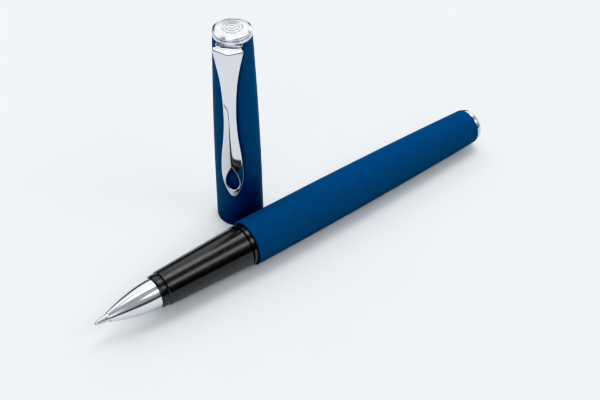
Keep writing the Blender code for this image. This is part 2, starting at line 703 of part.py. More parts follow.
def clip_plate(axis):
    """Plate under the finial, with the eye that the stud passes through."""
    built = bmesh.new()
    outline = []
    half = CLIP_PLATE_WIDTH / 2
    start = math.asin(half / CLIP_EYE_RADIUS)
    for angle in steps(start, 2 * math.pi - start, 14):
        outline.append((CLIP_EYE_RADIUS * math.cos(angle), CLIP_EYE_RADIUS * math.sin(angle)))
    outline += [(CLIP_PLATE_REACH, -half), (CLIP_PLATE_REACH, half)]
    hole = [(CLIP_HOLE_RADIUS * math.cos(a), CLIP_HOLE_RADIUS * math.sin(a))
            for a in steps(0, 2 * math.pi, 16)[:-1]]
    bottom = CLIP_PLATE_TOP - CLIP_PLATE - CLIP_HINGE_HEIGHT
    loops = []
    for points in (outline, hole):
        verts = [built.verts.new(Vector((x - CLIP_HINGE_RADIUS, y, bottom)) * MM) for x, y in points]
        loops += [built.edges.new((verts[i], verts[(i + 1) % len(verts)])) for i in range(len(verts))]
    bmesh.ops.triangle_fill(built, use_beauty=True, edges=loops)
    face_region = bmesh.ops.extrude_face_region(built, geom=built.faces[:])
    raised = [part for part in face_region["geom"] if isinstance(part, bmesh.types.BMVert)]
    bmesh.ops.translate(built, vec=(0, 0, CLIP_PLATE * MM), verts=raised)
    return built


def guide(name, built, parent):
    """Hidden solid that a boolean reads."""
    bmesh.ops.recalc_face_normals(built, faces=built.faces)
    data = bpy.data.meshes.new(name)
    built.to_mesh(data)
    built.free()
    solid = bpy.data.objects.new(name, data)
    solid.parent = parent
    solid.hide_render = True
    solid.display_type = "WIRE"
    bpy.context.collection.objects.link(solid)
    return solid


def clip_hole():
    """Drop-shaped prism: a round bottom that narrows to a point above."""
    built = bmesh.new()
    radius = CLIP_HOLE_HALF_WIDTH
    centre = CLIP_HOLE_BOTTOM + CLIP_HOLE_FULLEST
    flat = [(radius * math.cos(a), centre + CLIP_HOLE_FULLEST * math.sin(a))
            for a in steps(math.pi, 2 * math.pi, 10)]
    shoulder = (radius * CLIP_HOLE_SHOULDER[0], centre + CLIP_HOLE_SHOULDER[1])
    flat += [shoulder, (0, CLIP_HOLE_APEX), (-shoulder[0], shoulder[1])]
    shift = CLIP_HINGE_HEIGHT
    near = [built.verts.new(Vector((1.0, y, z - shift)) * MM) for y, z in flat]
    far = [built.verts.new(Vector((6.0, y, z - shift)) * MM) for y, z in flat]
    built.faces.new(near)
    built.faces.new(far)
    for i in range(len(flat)):
        j = (i + 1) % len(flat)
        built.faces.new((near[i], near[j], far[j], far[i]))
    return built


def clip(axis, looks):
    """Sprung pocket clip: eye plate, shoulder, waisted arm and spoon, on its bending line."""
    built = bmesh.new()
    sections = []
    for index in range(len(CLIP_STATIONS)):
        sections.append([built.verts.new(corner) for corner in clip_arm_section(index)])
    for upper, lower in zip(sections, sections[1:]):
        for i in range(len(upper)):
            j = (i + 1) % len(upper)
            built.faces.new((upper[i], upper[j], lower[j], lower[i]))
    built.faces.new(sections[0])
    built.faces.new(sections[-1])
    arm = mesh_object("clip", built, axis, looks["chrome"])
    arm.location = Vector((CLIP_HINGE_RADIUS * math.cos(CLIP_AZIMUTH),
                           CLIP_HINGE_RADIUS * math.sin(CLIP_AZIMUTH), CLIP_HINGE_HEIGHT)) * MM
    arm.rotation_euler = (0, 0, CLIP_AZIMUTH)
    cut(arm, guide("clip_plate_guide", clip_plate(axis), arm), "UNION")
    cut(arm, guide("clip_hole_cutter", clip_hole(), arm))


# --- Assembly --------------------------------------------------------------------------------------

def main():
    for leftover in list(bpy.data.objects):
        bpy.data.objects.remove(leftover, do_unlink=True)
    looks = make_materials()
    pen_axis = pen_frame()
    cap_axis = cap_frame(pen_axis)
    for build_piece in (barrel_tube, barrel_thread_insert, barrel_end_plug, barrel_end_cap,
                        refill_spring, grip_section, nose_cone, section_sleeve, section_collar,
                        refill_tip, tip_ball, refill_stem, refill_tube, refill_end_plug,
                        ink_reservoir, ink_feed):
        build_piece(pen_axis, looks)
    for build_piece in (cap_shell, cap_liner, cap_clutch_ring, cap_top_bush, finial_base,
                        finial_disc, finial_stud, clip):
        build_piece(cap_axis, looks)


main()
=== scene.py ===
"""Rollerball pen lying uncapped on a pale table, with its cap standing behind it: the fine model.

Lengths are in millimetres and become metres when a vertex is made. Turned pieces are drawn along the
local X axis: a pen piece from the barrel's front face, positive towards the barrel's end, and a cap
piece from the cap's mouth upwards. The clip has its own axes: out from the cap, sideways, and up.
"""

import json
import math

import bmesh
import bpy
from mathutils import Matrix, Vector
from mathutils.geometry import delaunay_2d_cdt

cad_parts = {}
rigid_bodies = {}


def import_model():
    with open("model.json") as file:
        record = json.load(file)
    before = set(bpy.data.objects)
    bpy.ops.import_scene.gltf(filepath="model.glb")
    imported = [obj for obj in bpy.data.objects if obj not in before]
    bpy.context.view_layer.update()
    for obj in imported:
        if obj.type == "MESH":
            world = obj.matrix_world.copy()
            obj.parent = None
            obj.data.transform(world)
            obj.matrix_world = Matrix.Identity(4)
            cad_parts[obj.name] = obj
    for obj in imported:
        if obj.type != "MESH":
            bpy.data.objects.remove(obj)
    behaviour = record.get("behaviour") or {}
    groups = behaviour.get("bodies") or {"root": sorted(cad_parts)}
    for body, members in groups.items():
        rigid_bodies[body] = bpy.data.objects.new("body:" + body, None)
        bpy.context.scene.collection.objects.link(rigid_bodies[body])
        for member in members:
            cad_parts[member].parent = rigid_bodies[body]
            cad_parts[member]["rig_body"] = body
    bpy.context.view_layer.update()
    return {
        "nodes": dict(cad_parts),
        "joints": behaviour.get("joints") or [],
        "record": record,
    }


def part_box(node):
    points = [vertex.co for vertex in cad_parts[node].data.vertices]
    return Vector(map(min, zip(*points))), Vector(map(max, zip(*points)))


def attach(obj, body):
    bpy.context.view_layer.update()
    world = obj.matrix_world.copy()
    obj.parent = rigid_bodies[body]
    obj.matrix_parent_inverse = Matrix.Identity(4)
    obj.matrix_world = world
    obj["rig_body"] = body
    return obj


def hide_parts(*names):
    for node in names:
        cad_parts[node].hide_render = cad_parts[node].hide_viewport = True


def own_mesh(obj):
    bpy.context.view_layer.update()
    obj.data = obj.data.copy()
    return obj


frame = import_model()

MM = 0.001
ARC_STEPS = 5
SHARP_ANGLE = math.radians(32)
OUTER_SEGMENTS = 144
INNER_SEGMENTS = 72

# Barrel
BARREL_LENGTH = 76.0
BARREL_FRONT_RADIUS = 6.0
BARREL_SWELL = 0.30
BARREL_TAPER = 1.42
BARREL_BORE = 4.20
INSERT_BORE = 5.05
INSERT_DEPTH = 11.5
END_PLUG_FRONT = 71.3
END_CAP_LENGTH = 2.0
END_CAP_GROOVE_DEPTH = 0.30
END_STUD_RADIUS = 1.5
END_STUD_LENGTH = 3.5

# Section
SECTION_FRONT = -27.5
GRIP_FRONT_RADIUS = 4.40
GRIP_REAR_RADIUS = 5.50
GRIP_BEAD_RADIUS = 4.25
GRIP_NECK_RADIUS = 4.12
GRIP_LIP = -1.55
GROOVE_RADIUS = 5.10
COLLAR_FRONT = -1.20
COLLAR_REAR = -0.08
SLEEVE_RADIUS = 3.75
SLEEVE_HEAD_RADIUS = 4.40
SLEEVE_HEAD = -7.0
SLEEVE_REAR = 8.6
NOSE_BASE_RADIUS = 3.88
NOSE_FRONT_RADIUS = 1.33
NOSE_LENGTH = 12.8
NOSE_CURVE = 1.72
NOSE_PLUG_RADIUS = 2.95
NOSE_PLUG_REAR = -23.0

# Thread: where it starts and stops in the insert and on the sleeve, and how it fades out
THREAD_PITCH = 1.0
THREAD_DEPTH = 0.35
THREAD_CLEARANCE = 0.12
THREAD_FADE = 0.6
THREAD_STEPS_PER_MM = 12
INSERT_THREAD = (10.4, 0.6)
SLEEVE_THREAD = (1.1, 8.0)

# Refill
TIP_END = -44.0
STEM_FRONT = -34.5
STEM_RADIUS = 1.85
TIP_RADIUS = 1.12
REFILL_BORE = 3.25
REFILL_RADIUS = 3.05
REFILL_INNER = 2.70
REFILL_TUBE_FRONT = -21.5
REFILL_REAR = 66.5
BALL_RADIUS = 0.35
FEED_RADIUS = 0.75
SPRING_FRONT = 66.84
SPRING_REAR = 70.96
SPRING_RADIUS = 2.3
SPRING_WIRE = 0.22
SPRING_TURNS = 4.5
SPRING_STEPS_PER_TURN = 40
SPRING_WIRE_SIDES = 12
SPRING_END_CROWDING = 0.05

# Cap
CAP_HEIGHT = 57.07
CAP_FOOT_RADIUS = 6.07
CAP_TOP_RADIUS = 4.80
CAP_BULGE = 1.30
CAP_WALL = 0.42
CAP_LIP_WALL = 0.34
CAP_LIP_DEPTH = 7.0
STUD_RADIUS = 1.35
STUD_HEAD_RADIUS = 2.4
STUD_BOTTOM = 50.4
BUSH_BOTTOM = 53.2
BUSH_TOP = 55.55
FINIAL_BOTTOM = 57.11
FINIAL_JOIN = 57.91
FINIAL_FACE_RADIUS = 3.88
FINIAL_FACE_HEIGHT = 0.95
FINIAL_FACE_CROWN = 0.012
FINIAL_RINGS = (2.35, 1.50, 0.65)
FINIAL_RING_DEPTH = 0.16
CLUTCH_BOTTOM = 0.35
CLUTCH_TOP = 3.2
CLUTCH_BEAD = 1.375
CLUTCH_BEAD_HALF_HEIGHT = 0.35
# Inside of the liner: corners as (height, radius, fillet)
LINER_INSIDE = ((48.6, 0, 0), (48.6, 2.6, 0.6), (40.0, 3.9, 2.0), (27.0, 4.70, 2.0), (14.0, 5.05, 2.0))
PRESS_GAP = 0.04

# Clip: the rounding is that of its outer edge, and a smaller ridge value makes its middle line
# sharper; the grid is the spacing of the points on a face
CLIP_THICKNESS = 0.90
CLIP_ROUNDING = 0.30
CLIP_RIDGE = 0.11
CLIP_GRID = 0.30
CLIP_TIP_LENGTH = 0.62
CLIP_SLOPE_SPAN = 1.0
CLIP_NORMAL_STEP = 0.04
DROP_TOP = 21.7
DROP_BOTTOM = 13.6
DROP_HALF_WIDTH = 1.70
DROP_FULLEST = 0.77
CLIP_SLOT_MIDDLE = 4.6
CLIP_SLOT_LENGTH = 4.0
CLIP_SLOT_HEIGHT = 2.0
CLIP_SLOT_BOTTOM = 55.20
CLIP_SLOT_HALF_WIDTH = 3.25
CLIP_PLATE_BOTTOM = 56.35
CLIP_PLATE_TOP = 56.93
CLIP_PLATE_REACH = 4.34
CLIP_PLATE_BEVEL = 0.03
CLIP_PLATE_GRID = 1.0
CLIP_EYE_RADIUS = 3.95
CLIP_EYE_HOLE = 1.80

# Camera
CAMERA_AZIMUTH = math.radians(37.93)
CAMERA_ELEVATION = math.radians(43.37)
CAMERA_DISTANCE = 322.13
CAMERA_TARGET = (7.415, 1.32)
CAMERA_LENS = 72.0

# Finishes: how far away another piece still darkens the paint with painted shade
PAINTED_SHADE_REACH = 9.0

# Studio: a key light for the shading, and soft panels that the gloss reflects
KEY_DIRECTION = (0.0, 0.40, 0.92)
KEY_DISTANCE = 0.6
KEY_SIZE = 0.90
KEY_RADIANCE = 0.19
# Each panel: its direction, half width along the pen, half height, and the radiance that it adds
PANELS = (
    ((0.25, 0.66, 0.71), 0.75, 0.30, 0.98),
    ((0.30, 0.17, 0.94), 0.42, 0.19, 3.40),
    ((0.36, -0.60, 0.71), 0.32, 0.14, 3.20),
    ((-0.65, -0.54, 0.53), 0.40, 0.28, 1.30),
    ((0.92, -0.05, 0.30), 0.24, 0.60, 0.60),
)
PANEL_SOFTNESS = 0.35
WORLD_DARK = 0.06
WORLD_BRIGHT = 0.42
WORLD_DARK_BELOW = 0.10
WORLD_BRIGHT_ABOVE = 0.55
STUDIO_TINT = (0.96, 0.98, 1.0)
TABLE_HALF_WIDTH = 4.0
# How bright a level of light is shown
TONE_POINTS = ((0.013, 0.003), (0.04, 0.032), (0.127, 0.117), (0.246, 0.30), (0.39, 0.50), (0.58, 0.71),
               (0.80, 0.865))


# --- Placing ---------------------------------------------------------------------------------------

def joint(name):
    return next(entry for entry in frame["joints"] if entry["name"] == name)


def axes_matrix(origin, x_axis, y_axis):
    z_axis = x_axis.cross(y_axis)
    columns = Matrix((x_axis, y_axis, z_axis)).transposed().to_4x4()
    return Matrix.Translation(origin) @ columns


def pen_place():
    """Frame on the pen's axis at the barrel's front face, with X towards the barrel's end."""
    turn = joint("section_turn")
    return axes_matrix(Vector(turn["pos_m"]), -Vector(turn["axis"]), Vector((0, 1, 0)))


def cap_foot():
    low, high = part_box("cap_shell")
    return Vector(((low.x + high.x) / 2, (low.y + high.y) / 2, low.z))


def cap_place():
    """Frame on the cap's axis at its mouth, with X upwards."""
    return axes_matrix(cap_foot(), Vector((0, 0, 1)), Vector((1, 0, 0)))


def clip_place():
    """Frame on the cap's axis at its mouth: X out through the clip, Z upwards."""
    side = -Vector(joint("clip_flex")["axis"])
    return axes_matrix(cap_foot(), side.cross(Vector((0, 0, 1))), side)


PEN = pen_place()
CAP = cap_place()
CLIP = clip_place()
SLOT_OF = {part["node"]: part["material_slot"] for part in frame["record"]["subparts"]}


def add_piece(node, mesh, place, looks):
    """Show a finished mesh in place of its CAD node, in the same body and material slot."""
    piece = bpy.data.objects.new(node + "_fine", mesh)
    piece.matrix_world = place
    bpy.context.scene.collection.objects.link(piece)
    mesh.materials.append(looks[SLOT_OF[node]])
    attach(piece, frame["nodes"][node]["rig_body"])
    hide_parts(node)
    return piece


# --- Turned solids ---------------------------------------------------------------------------------

def steps(start, stop, count):
    """Evenly spaced values from start to stop, both included."""
    return [start + (stop - start) * i / count for i in range(count + 1)]


def rounded(corners):
    """Outline through (along, radius, fillet) corners, with a short arc for every fillet."""
    outline = []
    for i, (along, radius, fillet) in enumerate(corners):
        here = Vector((along, radius))
        if fillet == 0:
            outline.append((along, radius))
            continue
        before = Vector(corners[i - 1][:2]) - here
        after = Vector(corners[(i + 1) % len(corners)][:2]) - here
        half_angle = before.angle(after) / 2
        reach = min(fillet / math.tan(half_angle), 0.48 * before.length, 0.48 * after.length)
        size = reach * math.tan(half_angle)
        before.normalize()
        after.normalize()
        centre = here + (before + after).normalized() * size / math.sin(half_angle)
        start = here + before * reach - centre
        end = here + after * reach - centre
        for share in steps(0, 1, ARC_STEPS):
            outline.append(tuple(centre + start.lerp(end, share).normalized() * size))
    return outline


def curve(radius_at, start, stop, count):
    """Outline corners along a smooth curve."""
    return [(along, radius_at(along), 0) for along in steps(start, stop, count)]


def tooth(along, share):
    """Height of the thread at a place along the axis and a share of the way round, 0 to 1."""
    return 0.5 + 0.5 * math.cos(2 * math.pi * (along / THREAD_PITCH - share))


def thread_depths(start, stop):
    """Places along a thread, each with its depth there; the thread fades out at both its ends."""
    low, high = min(start, stop), max(start, stop)
    found = []
    for along in steps(start, stop, round((high - low) * THREAD_STEPS_PER_MM)):
        fade = min(1, (along - low) / THREAD_FADE, (high - along) / THREAD_FADE)
        found.append((along, THREAD_DEPTH * fade))
    return found


def revolve(outline, segments):
    """Points and faces of the closed solid that an outline sweeps round the X axis.

    An outline point with a third value has a thread of that depth on it.
    """
    area = sum(a[0] * b[1] - b[0] * a[1] for a, b in zip(outline, outline[1:] + outline[:1]))
    if area > 0:
        outline = outline[::-1]
    points = []
    rings = []
    for along, radius, *thread in outline:
        count = segments if radius > 0 else 1
        rings.append((len(points), count))
        for i in range(count):
            angle = 2 * math.pi * i / segments
            size = radius
            if thread:
                size += thread[0] * tooth(along, i / segments)
            points.append((along * MM, size * math.cos(angle) * MM, size * math.sin(angle) * MM))
    faces = []
    for (a, count_a), (b, count_b) in zip(rings, rings[1:] + rings[:1]):
        if count_a == count_b == 1:
            continue
        for i in range(segments):
            j = (i + 1) % segments
            corners = (a + i % count_a, a + j % count_a, b + j % count_b, b + i % count_b)
            faces.append(list(dict.fromkeys(corners)))
    return points, faces


def mesh_from(name, points, faces):
    mesh = bpy.data.meshes.new(name)
    mesh.from_pydata(points, [], faces)
    mesh.shade_smooth()
    mesh.set_sharp_from_angle(angle=SHARP_ANGLE)
    return mesh


def add_shaded_piece(node, mesh, place, looks):
    """Add a piece whose flat faces still look flat beside its rounded edges."""
    piece = add_piece(node, mesh, place, looks)
    weighted = piece.modifiers.new("weighted_normals", "WEIGHTED_NORMAL")
    weighted.keep_sharp = True


def turn(node, corners, place, looks, segments=INNER_SEGMENTS):
    """Add a solid of revolution; corners have a fillet each."""
    mesh = mesh_from(node, *revolve(rounded(corners), segments))
    add_shaded_piece(node, mesh, place, looks)


def turn_threaded(node, before, thread, after, looks):
    """Add a solid whose outline has a run of thread points between two plain runs."""
    outline = [corner[:2] for corner in before] + thread + [corner[:2] for corner in after]
    mesh = mesh_from(node, *revolve(outline, INNER_SEGMENTS))
    return add_piece(node, mesh, PEN, looks)


# --- Barrel ----------------------------------------------------------------------------------------

def barrel_radius(along):
    share = along / BARREL_LENGTH
    return BARREL_FRONT_RADIUS + BARREL_SWELL * share - BARREL_TAPER * share ** 2


def barrel_pieces(looks):
    rear = BARREL_LENGTH
    corners = [(0, INSERT_BORE + 0.15, 0), (0, barrel_radius(0), 0.2)]
    corners += curve(barrel_radius, 0.6, rear - 0.6, 48)
    corners += [(rear, barrel_radius(rear), 0.12), (rear, BARREL_BORE, 0),
                (INSERT_DEPTH, BARREL_BORE, 0), (INSERT_DEPTH, INSERT_BORE, 0),
                (0.15, INSERT_BORE, 0)]
    turn("barrel_tube", corners, PEN, looks, OUTER_SEGMENTS)

    plug_rear = rear - 0.10
    plug = BARREL_BORE - PRESS_GAP
    hole = END_STUD_RADIUS + PRESS_GAP
    turn("barrel_end_plug",
         [(END_PLUG_FRONT, plug, 0.3), (plug_rear, plug, 0.1), (plug_rear, hole, 0.1),
          (END_PLUG_FRONT, hole, 0.1)], PEN, looks)

    front = rear + PRESS_GAP
    end = rear + END_CAP_LENGTH
    flange = barrel_radius(rear) - 0.08
    groove = flange - END_CAP_GROOVE_DEPTH
    stud = front - END_STUD_LENGTH
    turn("barrel_end_cap",
         [(stud, 0, 0), (stud, END_STUD_RADIUS, 0.3), (front, END_STUD_RADIUS, 0),
          (front, flange, 0.06), (front + 0.40, flange, 0.10), (front + 0.44, groove, 0.03),
          (front + 0.56, groove, 0.03), (front + 0.60, flange - 0.10, 0.10),
          (front + 1.10, flange - 0.16, 0.35), (front + 1.62, flange - 0.46, 0.4),
          (end - 0.04, flange - 1.5, 1.0), (end, 0, 0)], PEN, looks, OUTER_SEGMENTS)


def barrel_insert(looks):
    """Brass bush with the internal thread."""
    root = SLEEVE_RADIUS + THREAD_CLEARANCE + THREAD_DEPTH
    outer = INSERT_BORE - PRESS_GAP
    front = 0.25
    rear = INSERT_DEPTH - 0.12
    thread = [(along, root - depth, depth) for along, depth in thread_depths(*INSERT_THREAD)]
    turn_threaded("barrel_thread_insert",
                  [(front + 0.15, outer), (rear, outer), (rear, root + 0.15)], thread,
                  [(front, root + 0.15), (front, outer - 0.15)], looks)


def spring_path(share):
    """Share of the spring's length at a share of its wire; the end coils lie close together."""
    return share - SPRING_END_CROWDING * math.sin(4 * math.pi * share)


def refill_spring(looks):
    around = SPRING_WIRE_SIDES
    count = int(SPRING_TURNS * SPRING_STEPS_PER_TURN)
    points = []
    for i in range(count + 1):
        angle = 2 * math.pi * SPRING_TURNS * i / count
        along = SPRING_FRONT + (SPRING_REAR - SPRING_FRONT) * spring_path(i / count)
        for k in range(around):
            turned = 2 * math.pi * k / around
            radius = SPRING_RADIUS + SPRING_WIRE * math.cos(turned)
            points.append(Vector((along + SPRING_WIRE * math.sin(turned), radius * math.cos(angle),
                                  radius * math.sin(angle))) * MM)
    faces = [list(range(around)), list(range(count * around, (count + 1) * around))[::-1]]
    for i in range(count):
        for k in range(around):
            n = (k + 1) % around
            faces.append((i * around + k, (i + 1) * around + k, (i + 1) * around + n, i * around + n))
    mesh = mesh_from("refill_spring", points, faces)
    spring = add_piece("refill_spring", mesh, PEN, looks)
    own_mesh(spring)


# --- Section ---------------------------------------------------------------------------------------

def grip_radius(along):
    share = (along - SECTION_FRONT) / (GRIP_LIP - SECTION_FRONT)
    return GRIP_FRONT_RADIUS + (GRIP_REAR_RADIUS - GRIP_FRONT_RADIUS) * share


def nose_radius(along):
    ahead = max(0, SECTION_FRONT - PRESS_GAP - along)
    drop = NOSE_BASE_RADIUS - NOSE_FRONT_RADIUS
    return NOSE_BASE_RADIUS - drop * (ahead / NOSE_LENGTH) ** NOSE_CURVE


def section_pieces(looks):
    front = SECTION_FRONT
    bore = SLEEVE_HEAD_RADIUS + PRESS_GAP
    plug_bore = NOSE_PLUG_RADIUS + PRESS_GAP
    corners = [(front, plug_bore, 0), (front, NOSE_BASE_RADIUS + 0.02, 0.04),
               (front + 0.45, GRIP_BEAD_RADIUS - 0.07, 0.5), (front + 1.0, GRIP_BEAD_RADIUS, 0.4),
               (front + 1.65, GRIP_BEAD_RADIUS - 0.01, 0.2), (front + 1.85, GRIP_NECK_RADIUS, 0.08),
               (front + 2.05, GRIP_NECK_RADIUS, 0.08),
               (front + 2.35, grip_radius(front + 2.35), 0.15)]
    corners += curve(grip_radius, front + 3.2, GRIP_LIP - 1.2, 12)
    corners += [(GRIP_LIP, GRIP_REAR_RADIUS, 0.12), (GRIP_LIP, GROOVE_RADIUS, 0.04),
                (COLLAR_FRONT - PRESS_GAP, GROOVE_RADIUS, 0.04), (COLLAR_FRONT - PRESS_GAP, bore, 0),
                (SLEEVE_HEAD - 0.2, bore, 0), (SLEEVE_HEAD - 0.2, REFILL_BORE, 0),
                (NOSE_PLUG_REAR + 0.1, REFILL_BORE, 0), (NOSE_PLUG_REAR + 0.1, plug_bore, 0)]
    turn("grip_section", corners, PEN, looks, OUTER_SEGMENTS)

    collar = GRIP_REAR_RADIUS - 0.02
    inner = SLEEVE_RADIUS + THREAD_CLEARANCE
    turn("section_collar",
         [(COLLAR_FRONT, collar, 0.12), (COLLAR_REAR, collar, 0.12), (COLLAR_REAR, inner, 0),
          (COLLAR_FRONT, inner, 0)], PEN, looks, OUTER_SEGMENTS)

    base = front - PRESS_GAP
    tip = base - NOSE_LENGTH
    stem_bore = STEM_RADIUS + 0.12
    tip_bore = TIP_RADIUS + 0.13
    shoulder = STEM_FRONT - 0.12
    corners = [(NOSE_PLUG_REAR, stem_bore, 0.1), (NOSE_PLUG_REAR, NOSE_PLUG_RADIUS, 0.2),
               (base, NOSE_PLUG_RADIUS, 0), (base, NOSE_BASE_RADIUS, 0.05)]
    corners += curve(nose_radius, base - 0.3, tip + 0.3, 40)
    corners += [(tip, NOSE_FRONT_RADIUS, 0.06), (tip, tip_bore, 0.02), (shoulder - 0.5, tip_bore, 0),
                (shoulder, stem_bore, 0)]
    turn("nose_cone", corners, PEN, looks, OUTER_SEGMENTS)


def section_sleeve(looks):
    """Threaded brass sleeve in the grip."""
    rear = SLEEVE_REAR
    thread = [(along, SLEEVE_RADIUS, depth) for along, depth in thread_depths(*SLEEVE_THREAD)]
    shoulder = COLLAR_FRONT - 0.12
    turn_threaded("section_sleeve",
                  [(SLEEVE_HEAD, REFILL_BORE), (SLEEVE_HEAD, SLEEVE_HEAD_RADIUS - 0.1),
                   (SLEEVE_HEAD + 0.1, SLEEVE_HEAD_RADIUS), (shoulder, SLEEVE_HEAD_RADIUS),
                   (shoulder, SLEEVE_RADIUS)], thread,
                  [(rear - 0.3, SLEEVE_RADIUS), (rear, SLEEVE_RADIUS - 0.3), (rear, REFILL_BORE)], looks)


# --- Refill ----------------------------------------------------------------------------------------

def refill_pieces(looks):
    ball = TIP_END + BALL_RADIUS
    rim = ball - 0.14
    seat = ball + 0.42
    socket = BALL_RADIUS + 0.03
    duct = 0.45
    throat = 0.15
    shank_rear = STEM_FRONT + 2.2
    turn("refill_tip",
         [(rim, BALL_RADIUS - 0.01, 0), (rim, BALL_RADIUS + 0.07, 0.03),
          (rim + 0.45, BALL_RADIUS + 0.24, 0.15), (TIP_END + 3.30, TIP_RADIUS - 0.03, 0.15),
          (TIP_END + 3.7, TIP_RADIUS, 0.05), (shank_rear, TIP_RADIUS, 0.1), (shank_rear, duct, 0),
          (seat + 0.6, duct, 0), (seat + 0.4, throat, 0), (seat, throat, 0), (seat - 0.12, socket, 0),
          (ball, socket, 0)], PEN, looks)
    turn("tip_ball",
         [(ball - BALL_RADIUS * math.cos(angle), BALL_RADIUS * math.sin(angle), 0)
          for angle in steps(0, math.pi, 24)[:-1]] + [(ball + BALL_RADIUS, 0, 0)],
         PEN, looks, 32)

    front = REFILL_TUBE_FRONT
    plug = REFILL_INNER - PRESS_GAP
    feed_bore = FEED_RADIUS + PRESS_GAP
    tip_bore = TIP_RADIUS + PRESS_GAP
    tip_depth = STEM_FRONT + 2.4
    turn("refill_stem",
         [(STEM_FRONT, tip_bore, 0.03), (STEM_FRONT, STEM_RADIUS, 0.25),
          (front - 0.6, STEM_RADIUS, 0.1), (front - 0.3, REFILL_RADIUS - 0.25, 0.1),
          (front - PRESS_GAP, REFILL_RADIUS - 0.25, 0), (front - PRESS_GAP, plug, 0),
          (front + 4.0, plug, 0.2), (front + 4.0, feed_bore, 0), (tip_depth, feed_bore, 0),
          (tip_depth, tip_bore, 0)], PEN, looks)

    head = REFILL_REAR - 0.8
    vent = 0.4
    turn("refill_tube",
         [(front, REFILL_INNER, 0), (front, REFILL_RADIUS, 0.1), (head, REFILL_RADIUS, 0.1),
          (head, REFILL_INNER, 0)], PEN, looks)
    turn("refill_end_plug",
         [(head - 4.0, vent, 0.1), (head - 4.0, plug, 0.25), (head + PRESS_GAP, plug, 0),
          (head + PRESS_GAP, REFILL_RADIUS, 0.05), (REFILL_REAR, REFILL_RADIUS, 0.2),
          (REFILL_REAR, vent, 0.1)], PEN, looks)

    store_front = front + 4.2
    store_rear = REFILL_REAR - 5.0
    store = REFILL_INNER - 0.12
    turn("ink_reservoir",
         [(store_front, 0, 0), (store_front, store, 0.3), (store_rear, store, 0.3),
          (store_rear, 0, 0)], PEN, looks)
    feed_front = tip_depth + 0.12
    turn("ink_feed",
         [(feed_front, 0, 0), (feed_front, FEED_RADIUS, 0.15), (front + 4.1, FEED_RADIUS, 0.15),
          (front + 4.1, 0, 0)], PEN, looks, 32)


# --- Cap -------------------------------------------------------------------------------------------

def cap_radius(height):
    share = height / CAP_HEIGHT
    straight = CAP_FOOT_RADIUS + (CAP_TOP_RADIUS - CAP_FOOT_RADIUS) * share
    return straight + CAP_BULGE * share * (1 - share)


def cap_bore(height):
    return cap_radius(height) - CAP_WALL


def slot_cutter():
    """Block that leaves the clip's slot in the top edge of the shell."""
    cube = bmesh.new()
    bmesh.ops.create_cube(cube, size=1)
    size = Vector((CLIP_SLOT_LENGTH, 2 * CLIP_SLOT_HALF_WIDTH, CLIP_SLOT_HEIGHT))
    middle = Vector((CLIP_SLOT_MIDDLE, 0, CLIP_SLOT_BOTTOM + CLIP_SLOT_HEIGHT / 2))
    bmesh.ops.scale(cube, vec=size * MM, verts=cube.verts)
    bmesh.ops.translate(cube, vec=middle * MM, verts=cube.verts)
    mesh = bpy.data.meshes.new("slot_cutter")
    cube.to_mesh(mesh)
    cube.free()
    cutter = bpy.data.objects.new("slot_cutter", mesh)
    cutter.matrix_world = CLIP
    bpy.context.scene.collection.objects.link(cutter)
    return cutter


def cut(solid, cutter):
    """Take the cutter out of the solid's mesh for good, and drop the cutter."""
    boolean = solid.modifiers.new("cut", "BOOLEAN")
    boolean.solver = "EXACT"
    boolean.object = cutter
    bpy.context.view_layer.update()
    evaluated = solid.evaluated_get(bpy.context.evaluated_depsgraph_get())
    mesh = bpy.data.meshes.new_from_object(evaluated)
    solid.modifiers.clear()
    solid.data = mesh
    bpy.data.objects.remove(cutter)


def cap_shell(looks):
    corners = [(0, cap_radius(0), 0.08)]
    corners += curve(cap_radius, 0.4, CAP_HEIGHT - 0.3, 44)
    corners += [(CAP_HEIGHT, cap_radius(CAP_HEIGHT), 0.06), (CAP_HEIGHT, cap_bore(CAP_HEIGHT), 0.04)]
    corners += curve(cap_bore, CAP_HEIGHT - 0.4, CAP_LIP_DEPTH, 20)
    corners += [(CAP_LIP_DEPTH, cap_radius(CAP_LIP_DEPTH) - CAP_LIP_WALL, 0),
                (0, cap_radius(0) - CAP_LIP_WALL, 0.08)]
    mesh = mesh_from("cap_shell", *revolve(rounded(corners), OUTER_SEGMENTS))
    shell = bpy.data.objects.new("cap_shell_blank", mesh)
    shell.matrix_world = CAP
    bpy.context.scene.collection.objects.link(shell)
    cut(shell, slot_cutter())
    slotted = shell.data
    bpy.data.objects.remove(shell)
    slotted.set_sharp_from_angle(angle=SHARP_ANGLE)
    add_shaded_piece("cap_shell", slotted, CAP, looks)


